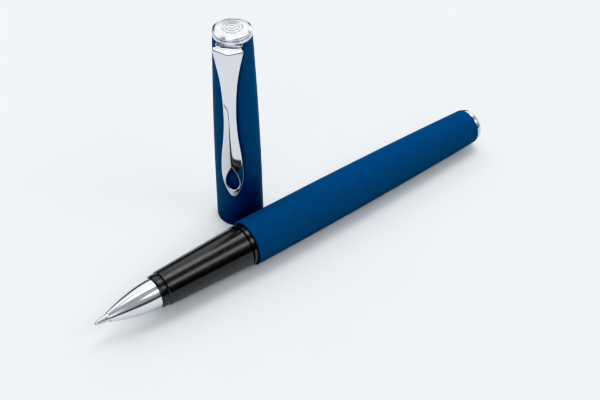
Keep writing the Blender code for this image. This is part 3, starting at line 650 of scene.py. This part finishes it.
def cap_inside(looks):
    gap = PRESS_GAP + 0.02
    mouth = CAP_LIP_DEPTH + 0.3
    top = BUSH_BOTTOM - PRESS_GAP
    hole = STUD_RADIUS + PRESS_GAP
    stud_end = STUD_BOTTOM - 0.12
    corners = [*LINER_INSIDE, (mouth, 5.32, 0.1)]
    corners += [(z, cap_bore(z) - gap, 0) for z in steps(mouth, top, 16)]
    corners += [(top, hole, 0), (stud_end, hole, 0), (stud_end, 0, 0)]
    turn("cap_liner", corners, CAP, looks, OUTER_SEGMENTS)

    outer = cap_radius(0) - CAP_LIP_WALL - PRESS_GAP
    inner = GRIP_REAR_RADIUS + 0.06
    bead = GRIP_REAR_RADIUS - 0.07
    turn("cap_clutch_ring",
         [(CLUTCH_BOTTOM, inner, 0.06), (CLUTCH_BOTTOM, outer, 0.06), (CLUTCH_TOP, outer, 0.06),
          (CLUTCH_TOP, inner, 0.06), (CLUTCH_BEAD + CLUTCH_BEAD_HALF_HEIGHT, inner, 0.05),
          (CLUTCH_BEAD, bead, 0.10), (CLUTCH_BEAD - CLUTCH_BEAD_HALF_HEIGHT, inner, 0.05)],
         CAP, looks, OUTER_SEGMENTS)

    turn("cap_top_bush",
         [(BUSH_BOTTOM, hole, 0.1), (BUSH_BOTTOM, cap_bore(BUSH_BOTTOM) - PRESS_GAP, 0.1),
          (BUSH_TOP, cap_bore(BUSH_TOP) - PRESS_GAP, 0.1), (BUSH_TOP, hole, 0.1)], CAP, looks)


def finial(looks):
    hole = STUD_RADIUS + PRESS_GAP
    pocket = STUD_HEAD_RADIUS + PRESS_GAP
    pocket_floor = FINIAL_JOIN - 0.50
    turn("finial_base",
         [(FINIAL_BOTTOM, hole, 0.05), (FINIAL_BOTTOM, CAP_TOP_RADIUS, 0.10),
          (FINIAL_JOIN, CAP_TOP_RADIUS, 0.14), (FINIAL_JOIN, pocket, 0.05), (pocket_floor, pocket, 0),
          (pocket_floor, hole, 0.05)], CAP, looks, OUTER_SEGMENTS)

    bottom = FINIAL_JOIN + PRESS_GAP
    rim = CAP_TOP_RADIUS - 0.05
    face = FINIAL_FACE_RADIUS
    corners = [(bottom, 0, 0), (bottom, rim - 0.32, 0.03), (bottom + 0.12, rim - 0.32, 0.03),
               (bottom + 0.16, rim, 0.12), (bottom + 0.47, rim - 0.03, 0.22),
               (bottom + 0.82, face + 0.12, 0.15), (bottom + 0.80, face - 0.02, 0.04),
               (bottom + 0.72, face - 0.06, 0.03), (bottom + 0.76, face - 0.30, 0.2)]
    top = bottom + FINIAL_FACE_HEIGHT
    for ring in FINIAL_RINGS:
        level = top - FINIAL_FACE_CROWN * ring ** 2
        floor = level - FINIAL_RING_DEPTH
        corners += [(level, ring + 0.26, 0.02), (floor, ring + 0.08, 0.01),
                    (floor, ring - 0.08, 0.01), (level, ring - 0.26, 0.02)]
    corners.append((top, 0, 0))
    turn("finial_disc", corners, CAP, looks, OUTER_SEGMENTS)

    head_bottom = FINIAL_JOIN - 0.45
    head_top = FINIAL_JOIN - 0.04
    turn("finial_stud",
         [(STUD_BOTTOM, 0, 0), (STUD_BOTTOM, STUD_RADIUS, 0.25), (head_bottom, STUD_RADIUS, 0.04),
          (head_bottom, STUD_HEAD_RADIUS, 0.06), (head_top, STUD_HEAD_RADIUS, 0.1), (head_top, 0, 0)],
         CAP, looks)


# --- Clip ------------------------------------------------------------------------------------------

# Down the clip's face: its middle (out, height), half width, and its edge (out, height).
CLIP_STATIONS = [
    (4.30, 56.42, 3.10, 4.30, 56.42),
    (4.60, 56.24, 3.12, 4.60, 56.24),
    (4.98, 56.22, 3.24, 4.98, 56.26),
    (5.22, 56.36, 3.46, 5.18, 56.46),
    (5.45, 56.62, 3.58, 5.36, 56.68),
    (5.72, 56.52, 3.64, 5.52, 56.62),
    (6.02, 56.10, 3.67, 5.66, 56.46),
    (6.30, 55.66, 3.68, 5.76, 56.26),
    (6.46, 55.30, 3.67, 5.85, 56.02),
    (6.50, 54.90, 3.63, 5.94, 55.68),
    (6.49, 54.40, 3.53, 6.04, 55.22),
    (6.42, 52.30, 2.95, 6.30, 52.40),
    (6.54, 48.00, 2.20, 6.44, 48.00),
    (6.75, 44.00, 1.82, 6.60, 44.00),
    (6.95, 40.00, 1.63, 6.74, 40.00),
    (7.12, 36.00, 1.60, 6.86, 36.00),
    (7.29, 31.50, 1.84, 6.97, 31.50),
    (7.41, 28.00, 2.20, 7.01, 28.00),
    (7.50, 24.80, 2.56, 7.00, 24.80),
    (7.54, 21.50, 2.75, 6.95, 21.50),
    (7.48, 18.00, 2.70, 6.90, 18.00),
    (7.25, 14.60, 2.12, 6.82, 14.60),
    (7.02, 12.50, 1.36, 6.78, 12.50),
    (6.92, 11.80, 0.98, 6.76, 11.80),
    (6.82, 11.00, 0.60, 6.72, 11.00),
]


def clip_knots():
    """Distance down the face to every station."""
    knots = [0.0]
    for above, below in zip(CLIP_STATIONS, CLIP_STATIONS[1:]):
        knots.append(knots[-1] + math.dist(above[:2], below[:2]))
    return knots


CLIP_KNOTS = clip_knots()


def station_slope(k, column):
    """How fast one column of the station values changes at a station."""
    low, high = max(k - 1, 0), min(k + 1, len(CLIP_KNOTS) - 1)
    change = CLIP_STATIONS[high][column] - CLIP_STATIONS[low][column]
    return change / (CLIP_KNOTS[high] - CLIP_KNOTS[low])


def clip_row(down):
    """Station values at a distance down the face, on a smooth curve through the stations."""
    i = max((k for k in range(len(CLIP_KNOTS) - 1) if CLIP_KNOTS[k] <= down), default=0)
    start, end = CLIP_KNOTS[i], CLIP_KNOTS[i + 1]
    share = (down - start) / (end - start)
    row = []
    for column in range(len(CLIP_STATIONS[0])):
        a, b = CLIP_STATIONS[i][column], CLIP_STATIONS[i + 1][column]
        slope_a = station_slope(i, column) * (end - start)
        slope_b = station_slope(i + 1, column) * (end - start)
        row.append(a + slope_a * share + (3 * (b - a) - 2 * slope_a - slope_b) * share ** 2
                   + (2 * (a - b) + slope_a + slope_b) * share ** 3)
    return row


def ridge_fall(across):
    """Share of the fall from the face's middle to its edge, on a soft ridge."""
    return (math.hypot(across, CLIP_RIDGE) - CLIP_RIDGE) / (math.hypot(1, CLIP_RIDGE) - CLIP_RIDGE)


def clip_point(side, down, depth):
    """Point under the clip's face, in metres in the clip's own axes."""
    out, height, half_width, edge_out, edge_height = clip_row(down)
    share = min(ridge_fall(side / half_width), 1.1)
    above = clip_row(max(down - CLIP_SLOPE_SPAN, 0))
    below = clip_row(min(down + CLIP_SLOPE_SPAN, CLIP_KNOTS[-1]))
    run = Vector((below[0] - above[0], below[1] - above[1])).normalized()
    inward = Vector((run.y, -run.x)) * depth
    return Vector((out + (edge_out - out) * share + inward.x, side,
                   height + (edge_height - height) * share + inward.y)) * MM


def clip_outline():
    """Closed outline of the clip's arm as (side, down) points."""
    tip_start = CLIP_KNOTS[-2]
    tip_half = CLIP_STATIONS[-2][2]
    edge = [(clip_row(down)[2], down) for down in steps(0, tip_start, 150)]
    tip = [(tip_half * math.cos(angle), tip_start + CLIP_TIP_LENGTH * math.sin(angle))
           for angle in steps(0, math.pi, 18)[1:-1]]
    top = [(side, 0.0) for side in steps(-edge[0][0], edge[0][0], 12)[1:-1]]
    return edge + tip + [(-side, down) for side, down in reversed(edge)] + top


def down_to(height):
    """Distance down the face to a height on its straight part."""
    return next(down for down in steps(0, CLIP_KNOTS[-1], 2000) if clip_row(down)[1] <= height)


def drop_outline():
    """Closed outline of the drop-shaped hole, pointed at the top, as (side, down) points."""
    top = down_to(DROP_TOP)
    bottom = down_to(DROP_BOTTOM)
    outline = []
    for angle in steps(0, 2 * math.pi, 64)[:-1]:
        side = math.sin(angle) * math.sin(angle / 2) / DROP_FULLEST
        outline.append((DROP_HALF_WIDTH * side, (top + bottom) / 2 - (bottom - top) / 2 * math.cos(angle)))
    return outline


def inward_normals(loop):
    """Unit normals of a closed loop, towards its own inside."""
    area = sum(a[0] * b[1] - b[0] * a[1] for a, b in zip(loop, loop[1:] + loop[:1]))
    normals = []
    for i in range(len(loop)):
        run = Vector(loop[(i + 1) % len(loop)]) - Vector(loop[i - 1])
        normals.append(Vector((-run.y, run.x)).normalized() * math.copysign(1, area))
    return normals


def inside(loop, point):
    """Whether a point is inside a closed loop."""
    crossings = 0
    for a, b in zip(loop, loop[1:] + loop[:1]):
        if (a[1] > point[1]) != (b[1] > point[1]):
            across = a[0] + (b[0] - a[0]) * (point[1] - a[1]) / (b[1] - a[1])
            crossings += point[0] < across
    return crossings % 2 == 1


def fill_points(rims, spacing):
    """Grid points inside the first rim, outside the others and clear of them all."""
    sides = [point[0] for point in rims[0]]
    downs = [point[1] for point in rims[0]]
    found = []
    for row in range(int((max(downs) - min(downs)) / spacing) + 1):
        for column in range(int((max(sides) - min(sides)) / spacing) + 1):
            shift = 0.5 * (row % 2)
            point = (min(sides) + (column + shift) * spacing, min(downs) + row * spacing)
            clear = all(math.dist(point, other) > 0.55 * spacing for rim in rims for other in rim)
            if clear and inside(rims[0], point) and not any(inside(rim, point) for rim in rims[1:]):
                found.append(point)
    return found


def flat_triangles(loops, spacing):
    """Extra points inside the first loop, and triangles that fill it and leave the others open."""
    extra = fill_points(loops, spacing)
    flat = [Vector(place) for loop in loops for place in loop] + [Vector(place) for place in extra]
    edges = []
    for loop in loops:
        first = len(edges)
        edges += [(first + i, first + (i + 1) % len(loop)) for i in range(len(loop))]
    places, _, triangles, origins, _, _ = delaunay_2d_cdt(flat, edges, [], 1, 1e-6, True)
    found = []
    for triangle in triangles:
        middle = sum((places[corner] for corner in triangle), Vector((0, 0))) / 3
        in_hole = any(inside(loop, middle) for loop in loops[1:])
        if inside(loops[0], middle) and not in_hole:
            found.append([origins[corner][0] for corner in triangle])
    return extra, found


def leaning_normal(to_point, side, down, depth, outward, lean):
    """Normal of a curved plate, leaning from square to its face towards the outward direction."""
    step = CLIP_NORMAL_STEP
    across = to_point(side + step, down, depth) - to_point(side - step, down, depth)
    along = to_point(side, down + step, depth) - to_point(side, down - step, depth)
    across.normalize()
    along.normalize()
    square = along.cross(across).normalized()
    away = across * outward.x + along * outward.y
    return (square * math.cos(lean) + away * math.sin(lean)).normalized()


def slab(to_point, rims, stack, spacing):
    """Points, normals and faces of a curved plate with holes.

    The first rim is the outside. The stack lists rings from the face to the back, each with its
    distance in from the rim, its depth, and the angle that its normal leans away from the face.
    """
    points, normals, faces = [], [], []

    def add(side, down, depth, outward, lean):
        points.append(to_point(side, down, depth))
        normals.append(leaning_normal(to_point, side, down, depth, outward, math.radians(lean)))
        return len(points) - 1

    caps = {0: [], len(stack) - 1: []}
    for number, rim in enumerate(rims):
        turn_in = 1 if number == 0 else -1
        inward = [normal * turn_in for normal in inward_normals(rim)]
        previous = None
        for layer, (inset, depth, lean) in enumerate(stack):
            flat = [tuple(Vector(point) + normal * inset) for point, normal in zip(rim, inward)]
            ring = [add(*place, depth, -normal, lean) for place, normal in zip(flat, inward)]
            if previous:
                for i in range(len(ring)):
                    j = (i + 1) % len(ring)
                    faces.append((previous[i], previous[j], ring[j], ring[i]))
            previous = ring
            if layer in caps:
                caps[layer].append((flat, ring))

    for layer, rings in caps.items():
        _, depth, lean = stack[layer]
        extra, triangles = flat_triangles([loop for loop, _ in rings], spacing)
        numbers = [index for _, ring in rings for index in ring]
        numbers += [add(*place, depth, Vector((0, 0)), lean) for place in extra]
        faces += [[numbers[corner] for corner in triangle] for triangle in triangles]
    return points, normals, faces


def eye_plate_point(side, down, depth):
    return Vector((down, side, CLIP_PLATE_TOP - depth)) * MM


def clip(looks):
    thick = CLIP_THICKNESS
    stack = []
    for lean in steps(0, 90, 5):
        angle = math.radians(lean)
        stack.append((CLIP_ROUNDING * (1 - math.sin(angle)), CLIP_ROUNDING * (1 - math.cos(angle)), lean))
    stack += [(0, thick - 0.1, 90), (0.1, thick, 180)]
    arm = slab(clip_point, [clip_outline(), drop_outline()], stack, CLIP_GRID)

    half = CLIP_STATIONS[0][2]
    start = math.asin(half / CLIP_EYE_RADIUS)
    eye = [(CLIP_EYE_RADIUS * math.sin(angle), CLIP_EYE_RADIUS * math.cos(angle))
           for angle in steps(start, 2 * math.pi - start, 48)]
    eye += [(-half, CLIP_PLATE_REACH), (half, CLIP_PLATE_REACH)]
    hole = [(CLIP_EYE_HOLE * math.sin(angle), CLIP_EYE_HOLE * math.cos(angle))
            for angle in steps(0, 2 * math.pi, 40)[:-1]]
    depth = CLIP_PLATE_TOP - CLIP_PLATE_BOTTOM
    plate_stack = [(CLIP_PLATE_BEVEL, 0, 0), (0, CLIP_PLATE_BEVEL, 90), (0, depth, 90),
                   (CLIP_PLATE_BEVEL, depth, 180)]
    plate = slab(eye_plate_point, [eye, hole], plate_stack, CLIP_PLATE_GRID)
    points = arm[0] + plate[0]
    normals = arm[1] + plate[1]
    faces = arm[2] + [[len(arm[0]) + corner for corner in face] for face in plate[2]]

    mesh = bpy.data.meshes.new("clip")
    mesh.from_pydata(points, [], faces)
    built = bmesh.new()
    built.from_mesh(mesh)
    bmesh.ops.recalc_face_normals(built, faces=built.faces)
    built.to_mesh(mesh)
    built.free()
    mesh.shade_smooth()
    mesh.normals_split_custom_set_from_vertices(normals)
    add_piece("clip", mesh, CLIP, looks)


# --- Finishes --------------------------------------------------------------------------------------

def finish(name, colour, roughness, grain, metallic=0.0, specular=0.5, bump=0.002, mottle=0.06,
           rough_range=0.06, stretch=(1, 1, 1), worn=None, painted_shade=None):
    """Principled finish whose colour, gloss and surface vary with a fine noise.

    Grain and bump are in millimetres; worn is the colour that shows on rubbed edges, and the last argument
    is the colour of painted shade, put under and beside other pieces where an ambient occlusion node finds
    them close.
    """
    made = bpy.data.materials.new(name)
    made.use_nodes = True
    nodes = made.node_tree.nodes
    links = made.node_tree.links
    shader = nodes["Principled BSDF"]
    shader.inputs["Metallic"].default_value = metallic
    shader.inputs["Specular IOR Level"].default_value = specular

    where = nodes.new("ShaderNodeTexCoord")
    mapping = nodes.new("ShaderNodeMapping")
    mapping.inputs["Scale"].default_value = stretch
    links.new(where.outputs["Object"], mapping.inputs["Vector"])

    def noise(size, detail):
        node = nodes.new("ShaderNodeTexNoise")
        node.inputs["Scale"].default_value = 1 / (size * MM)
        node.inputs["Detail"].default_value = detail
        links.new(mapping.outputs["Vector"], node.inputs["Vector"])
        return node.outputs["Fac"]

    def spread(source, low, high, start=0.3, stop=0.7):
        node = nodes.new("ShaderNodeMapRange")
        node.inputs["From Min"].default_value = start
        node.inputs["From Max"].default_value = stop
        node.inputs["To Min"].default_value = low
        node.inputs["To Max"].default_value = high
        links.new(source, node.inputs["Value"])
        return node.outputs["Result"]

    def blend_colours(amount, first, second):
        node = nodes.new("ShaderNodeMix")
        node.data_type = "RGBA"
        links.new(amount, node.inputs[0])
        for socket, shade in ((node.inputs[6], first), (node.inputs[7], second)):
            if isinstance(shade, tuple):
                socket.default_value = (*shade, 1)
            else:
                links.new(shade, socket)
        return node.outputs[2]

    fine = noise(grain, 3)
    broad = noise(grain * 30, 2)
    darker = tuple(channel * (1 - mottle) for channel in colour)
    lighter = tuple(channel * (1 + mottle) for channel in colour)
    shade = blend_colours(spread(broad, 0, 1), darker, lighter)
    if worn:
        geometry = nodes.new("ShaderNodeNewGeometry")
        rubbed = spread(geometry.outputs["Pointiness"], 0, 0.35, 0.56, 0.72)
        shade = blend_colours(rubbed, shade, worn)
    # Painted shade: an ambient occlusion mask darkens the colour in hollows, under other pieces and beside
    # them
    if painted_shade:
        occlusion_shade = nodes.new("ShaderNodeAmbientOcclusion")
        occlusion_shade.samples = 8
        occlusion_shade.inputs["Distance"].default_value = PAINTED_SHADE_REACH * MM
        shade = blend_colours(spread(occlusion_shade.outputs["AO"], 0, 1, 0.1, 0.95), painted_shade, shade)
    links.new(shade, shader.inputs["Base Color"])
    links.new(spread(fine, max(roughness - rough_range, 0.02), roughness + rough_range),
              shader.inputs["Roughness"])

    relief = nodes.new("ShaderNodeBump")
    relief.inputs["Strength"].default_value = 1.0
    relief.inputs["Distance"].default_value = bump * MM
    links.new(fine, relief.inputs["Height"])
    links.new(relief.outputs["Normal"], shader.inputs["Normal"])
    return made


def make_looks():
    rings = (30, 1, 1)
    return {
        # The blue paint gets painted shade near other pieces, such as low on the cap and inside the clip's
        # hole
        "matt_blue_paint": finish("matt_blue_paint", (0.0, 0.060, 0.172), 0.52, 0.06, specular=0.03,
                                  bump=0.004, mottle=0.05, worn=(0.02, 0.10, 0.26),
                                  painted_shade=(0, 0.010, 0.036)),
        "chrome": finish("chrome", (0.64, 0.66, 0.69), 0.05, 0.5, metallic=1.0, bump=0.0002,
                         mottle=0.012, rough_range=0.02, worn=(0.70, 0.72, 0.75)),
        "gloss_black": finish("gloss_black", (0.003, 0.003, 0.0035), 0.20, 0.9, bump=0.0015,
                              mottle=0.2, rough_range=0.05, worn=(0.03, 0.03, 0.032)),
        "brass": finish("brass", (0.74, 0.53, 0.26), 0.26, 0.8, metallic=1.0, bump=0.0015,
                        stretch=rings, worn=(0.86, 0.68, 0.40)),
        "steel": finish("steel", (0.62, 0.62, 0.64), 0.24, 0.6, metallic=1.0, bump=0.001,
                        stretch=rings, worn=(0.75, 0.75, 0.77)),
        "nickel_silver": finish("nickel_silver", (0.60, 0.595, 0.59), 0.17, 0.5, metallic=1.0,
                                bump=0.0006, stretch=rings, worn=(0.80, 0.79, 0.76)),
        "carbide": finish("carbide", (0.30, 0.30, 0.32), 0.16, 0.03, metallic=1.0, bump=0.0004),
        "dark_plastic": finish("dark_plastic", (0.02, 0.02, 0.022), 0.42, 0.15, bump=0.003,
                               mottle=0.15, worn=(0.05, 0.05, 0.055)),
        "refill_plastic": finish("refill_plastic", (0.08, 0.10, 0.14), 0.30, 0.6, bump=0.001,
                                 mottle=0.1, stretch=(1, 8, 8), worn=(0.16, 0.18, 0.22)),
        "ink_fibre": finish("ink_fibre", (0.015, 0.025, 0.11), 0.92, 0.05, specular=0.1, bump=0.03,
                            mottle=0.35, rough_range=0.05, stretch=(0.1, 1, 1)),
    }


# --- Studio ----------------------------------------------------------------------------------------

def across_frame(direction):
    """Rotation whose Z points in a direction and whose X runs as nearly as it can along the pen."""
    back = Vector(direction).normalized()
    across = (Vector((1, 0, 0)) - back * back.x).normalized()
    return Matrix((across, back.cross(across), back)).transposed()


def key_light():
    """Large soft light that gives the shading and the shadows; the panels give the reflections."""
    data = bpy.data.lights.new("key_light", "AREA")
    data.shape = "SQUARE"
    data.size = KEY_SIZE
    data.energy = KEY_RADIANCE * math.pi * KEY_SIZE ** 2
    lamp = bpy.data.objects.new("key_light", data)
    turned = across_frame(KEY_DIRECTION)
    lamp.matrix_world = Matrix.Translation(turned.col[2] * KEY_DISTANCE) @ turned.to_4x4()
    lamp.visible_glossy = False
    bpy.context.scene.collection.objects.link(lamp)


def table_top():
    half = TABLE_HALF_WIDTH
    mesh = bpy.data.meshes.new("table_top")
    mesh.from_pydata([(-half, -half, 0), (half, -half, 0), (half, half, 0), (-half, half, 0)], [],
                     [(0, 1, 2, 3)])
    mesh.materials.append(finish("pale_table", (0.80, 0.82, 0.84), 0.55, 0.4, specular=0.2,
                                 bump=0.01, mottle=0.004))
    top = bpy.data.objects.new("table_top", mesh)
    bpy.context.scene.collection.objects.link(top)


def camera_direction():
    return Vector((math.sin(CAMERA_AZIMUTH) * math.cos(CAMERA_ELEVATION),
                   math.cos(CAMERA_AZIMUTH) * math.cos(CAMERA_ELEVATION), -math.sin(CAMERA_ELEVATION)))


def studio_world():
    """Soft room that falls dark towards the horizon, with bright soft-edged panels in it."""
    world = bpy.data.worlds.new("studio")
    world.use_nodes = True
    nodes = world.node_tree.nodes
    links = world.node_tree.links
    where = nodes.new("ShaderNodeTexCoord").outputs["Generated"]

    def smooth_step(source, start, stop, low, high):
        node = nodes.new("ShaderNodeMapRange")
        node.interpolation_type = "SMOOTHSTEP"
        node.inputs["From Min"].default_value = start
        node.inputs["From Max"].default_value = stop
        node.inputs["To Min"].default_value = low
        node.inputs["To Max"].default_value = high
        links.new(source, node.inputs["Value"])
        return node.outputs["Result"]

    parts = nodes.new("ShaderNodeSeparateXYZ")
    links.new(where, parts.inputs["Vector"])
    level = smooth_step(parts.outputs["Z"], WORLD_DARK_BELOW, WORLD_BRIGHT_ABOVE, WORLD_DARK, WORLD_BRIGHT)
    for direction, half_width, half_height, radiance in PANELS:
        mapping = nodes.new("ShaderNodeMapping")
        mapping.vector_type = "TEXTURE"
        mapping.inputs["Rotation"].default_value = across_frame(direction).to_euler()
        mapping.inputs["Scale"].default_value = (half_width, half_height, 1000)
        links.new(where, mapping.inputs["Vector"])
        reach = nodes.new("ShaderNodeVectorMath")
        reach.operation = "LENGTH"
        links.new(mapping.outputs["Vector"], reach.inputs[0])
        panel = smooth_step(reach.outputs["Value"], 1 - PANEL_SOFTNESS, 1 + PANEL_SOFTNESS, radiance, 0)
        total = nodes.new("ShaderNodeMath")
        links.new(level, total.inputs[0])
        links.new(panel, total.inputs[1])
        level = total.outputs["Value"]
    background = nodes["Background"]
    background.inputs["Color"].default_value = (*STUDIO_TINT, 1)
    links.new(level, background.inputs["Strength"])
    bpy.context.scene.world = world


def photo_camera():
    data = bpy.data.cameras.new("camera")
    data.lens = CAMERA_LENS
    data.clip_start = 0.005
    camera = bpy.data.objects.new("camera", data)
    target = Vector((*CAMERA_TARGET, 0)) * MM
    camera.location = target - camera_direction() * CAMERA_DISTANCE * MM
    camera.rotation_euler = camera_direction().to_track_quat("-Z", "Y").to_euler()
    bpy.context.scene.collection.objects.link(camera)
    bpy.context.scene.camera = camera


def film_response():
    """Picture tones like a print's: deep blacks, open middle tones and soft whites."""
    view = bpy.context.scene.view_settings
    view.view_transform = "Standard"
    view.use_curve_mapping = True
    for light, shown in TONE_POINTS:
        view.curve_mapping.curves[3].points.new(light, shown)
    view.curve_mapping.update()


def main():
    looks = make_looks()
    barrel_pieces(looks)
    barrel_insert(looks)
    refill_spring(looks)
    section_pieces(looks)
    section_sleeve(looks)
    refill_pieces(looks)
    cap_shell(looks)
    cap_inside(looks)
    finial(looks)
    clip(looks)
    table_top()
    key_light()
    studio_world()
    photo_camera()
    film_response()


main()
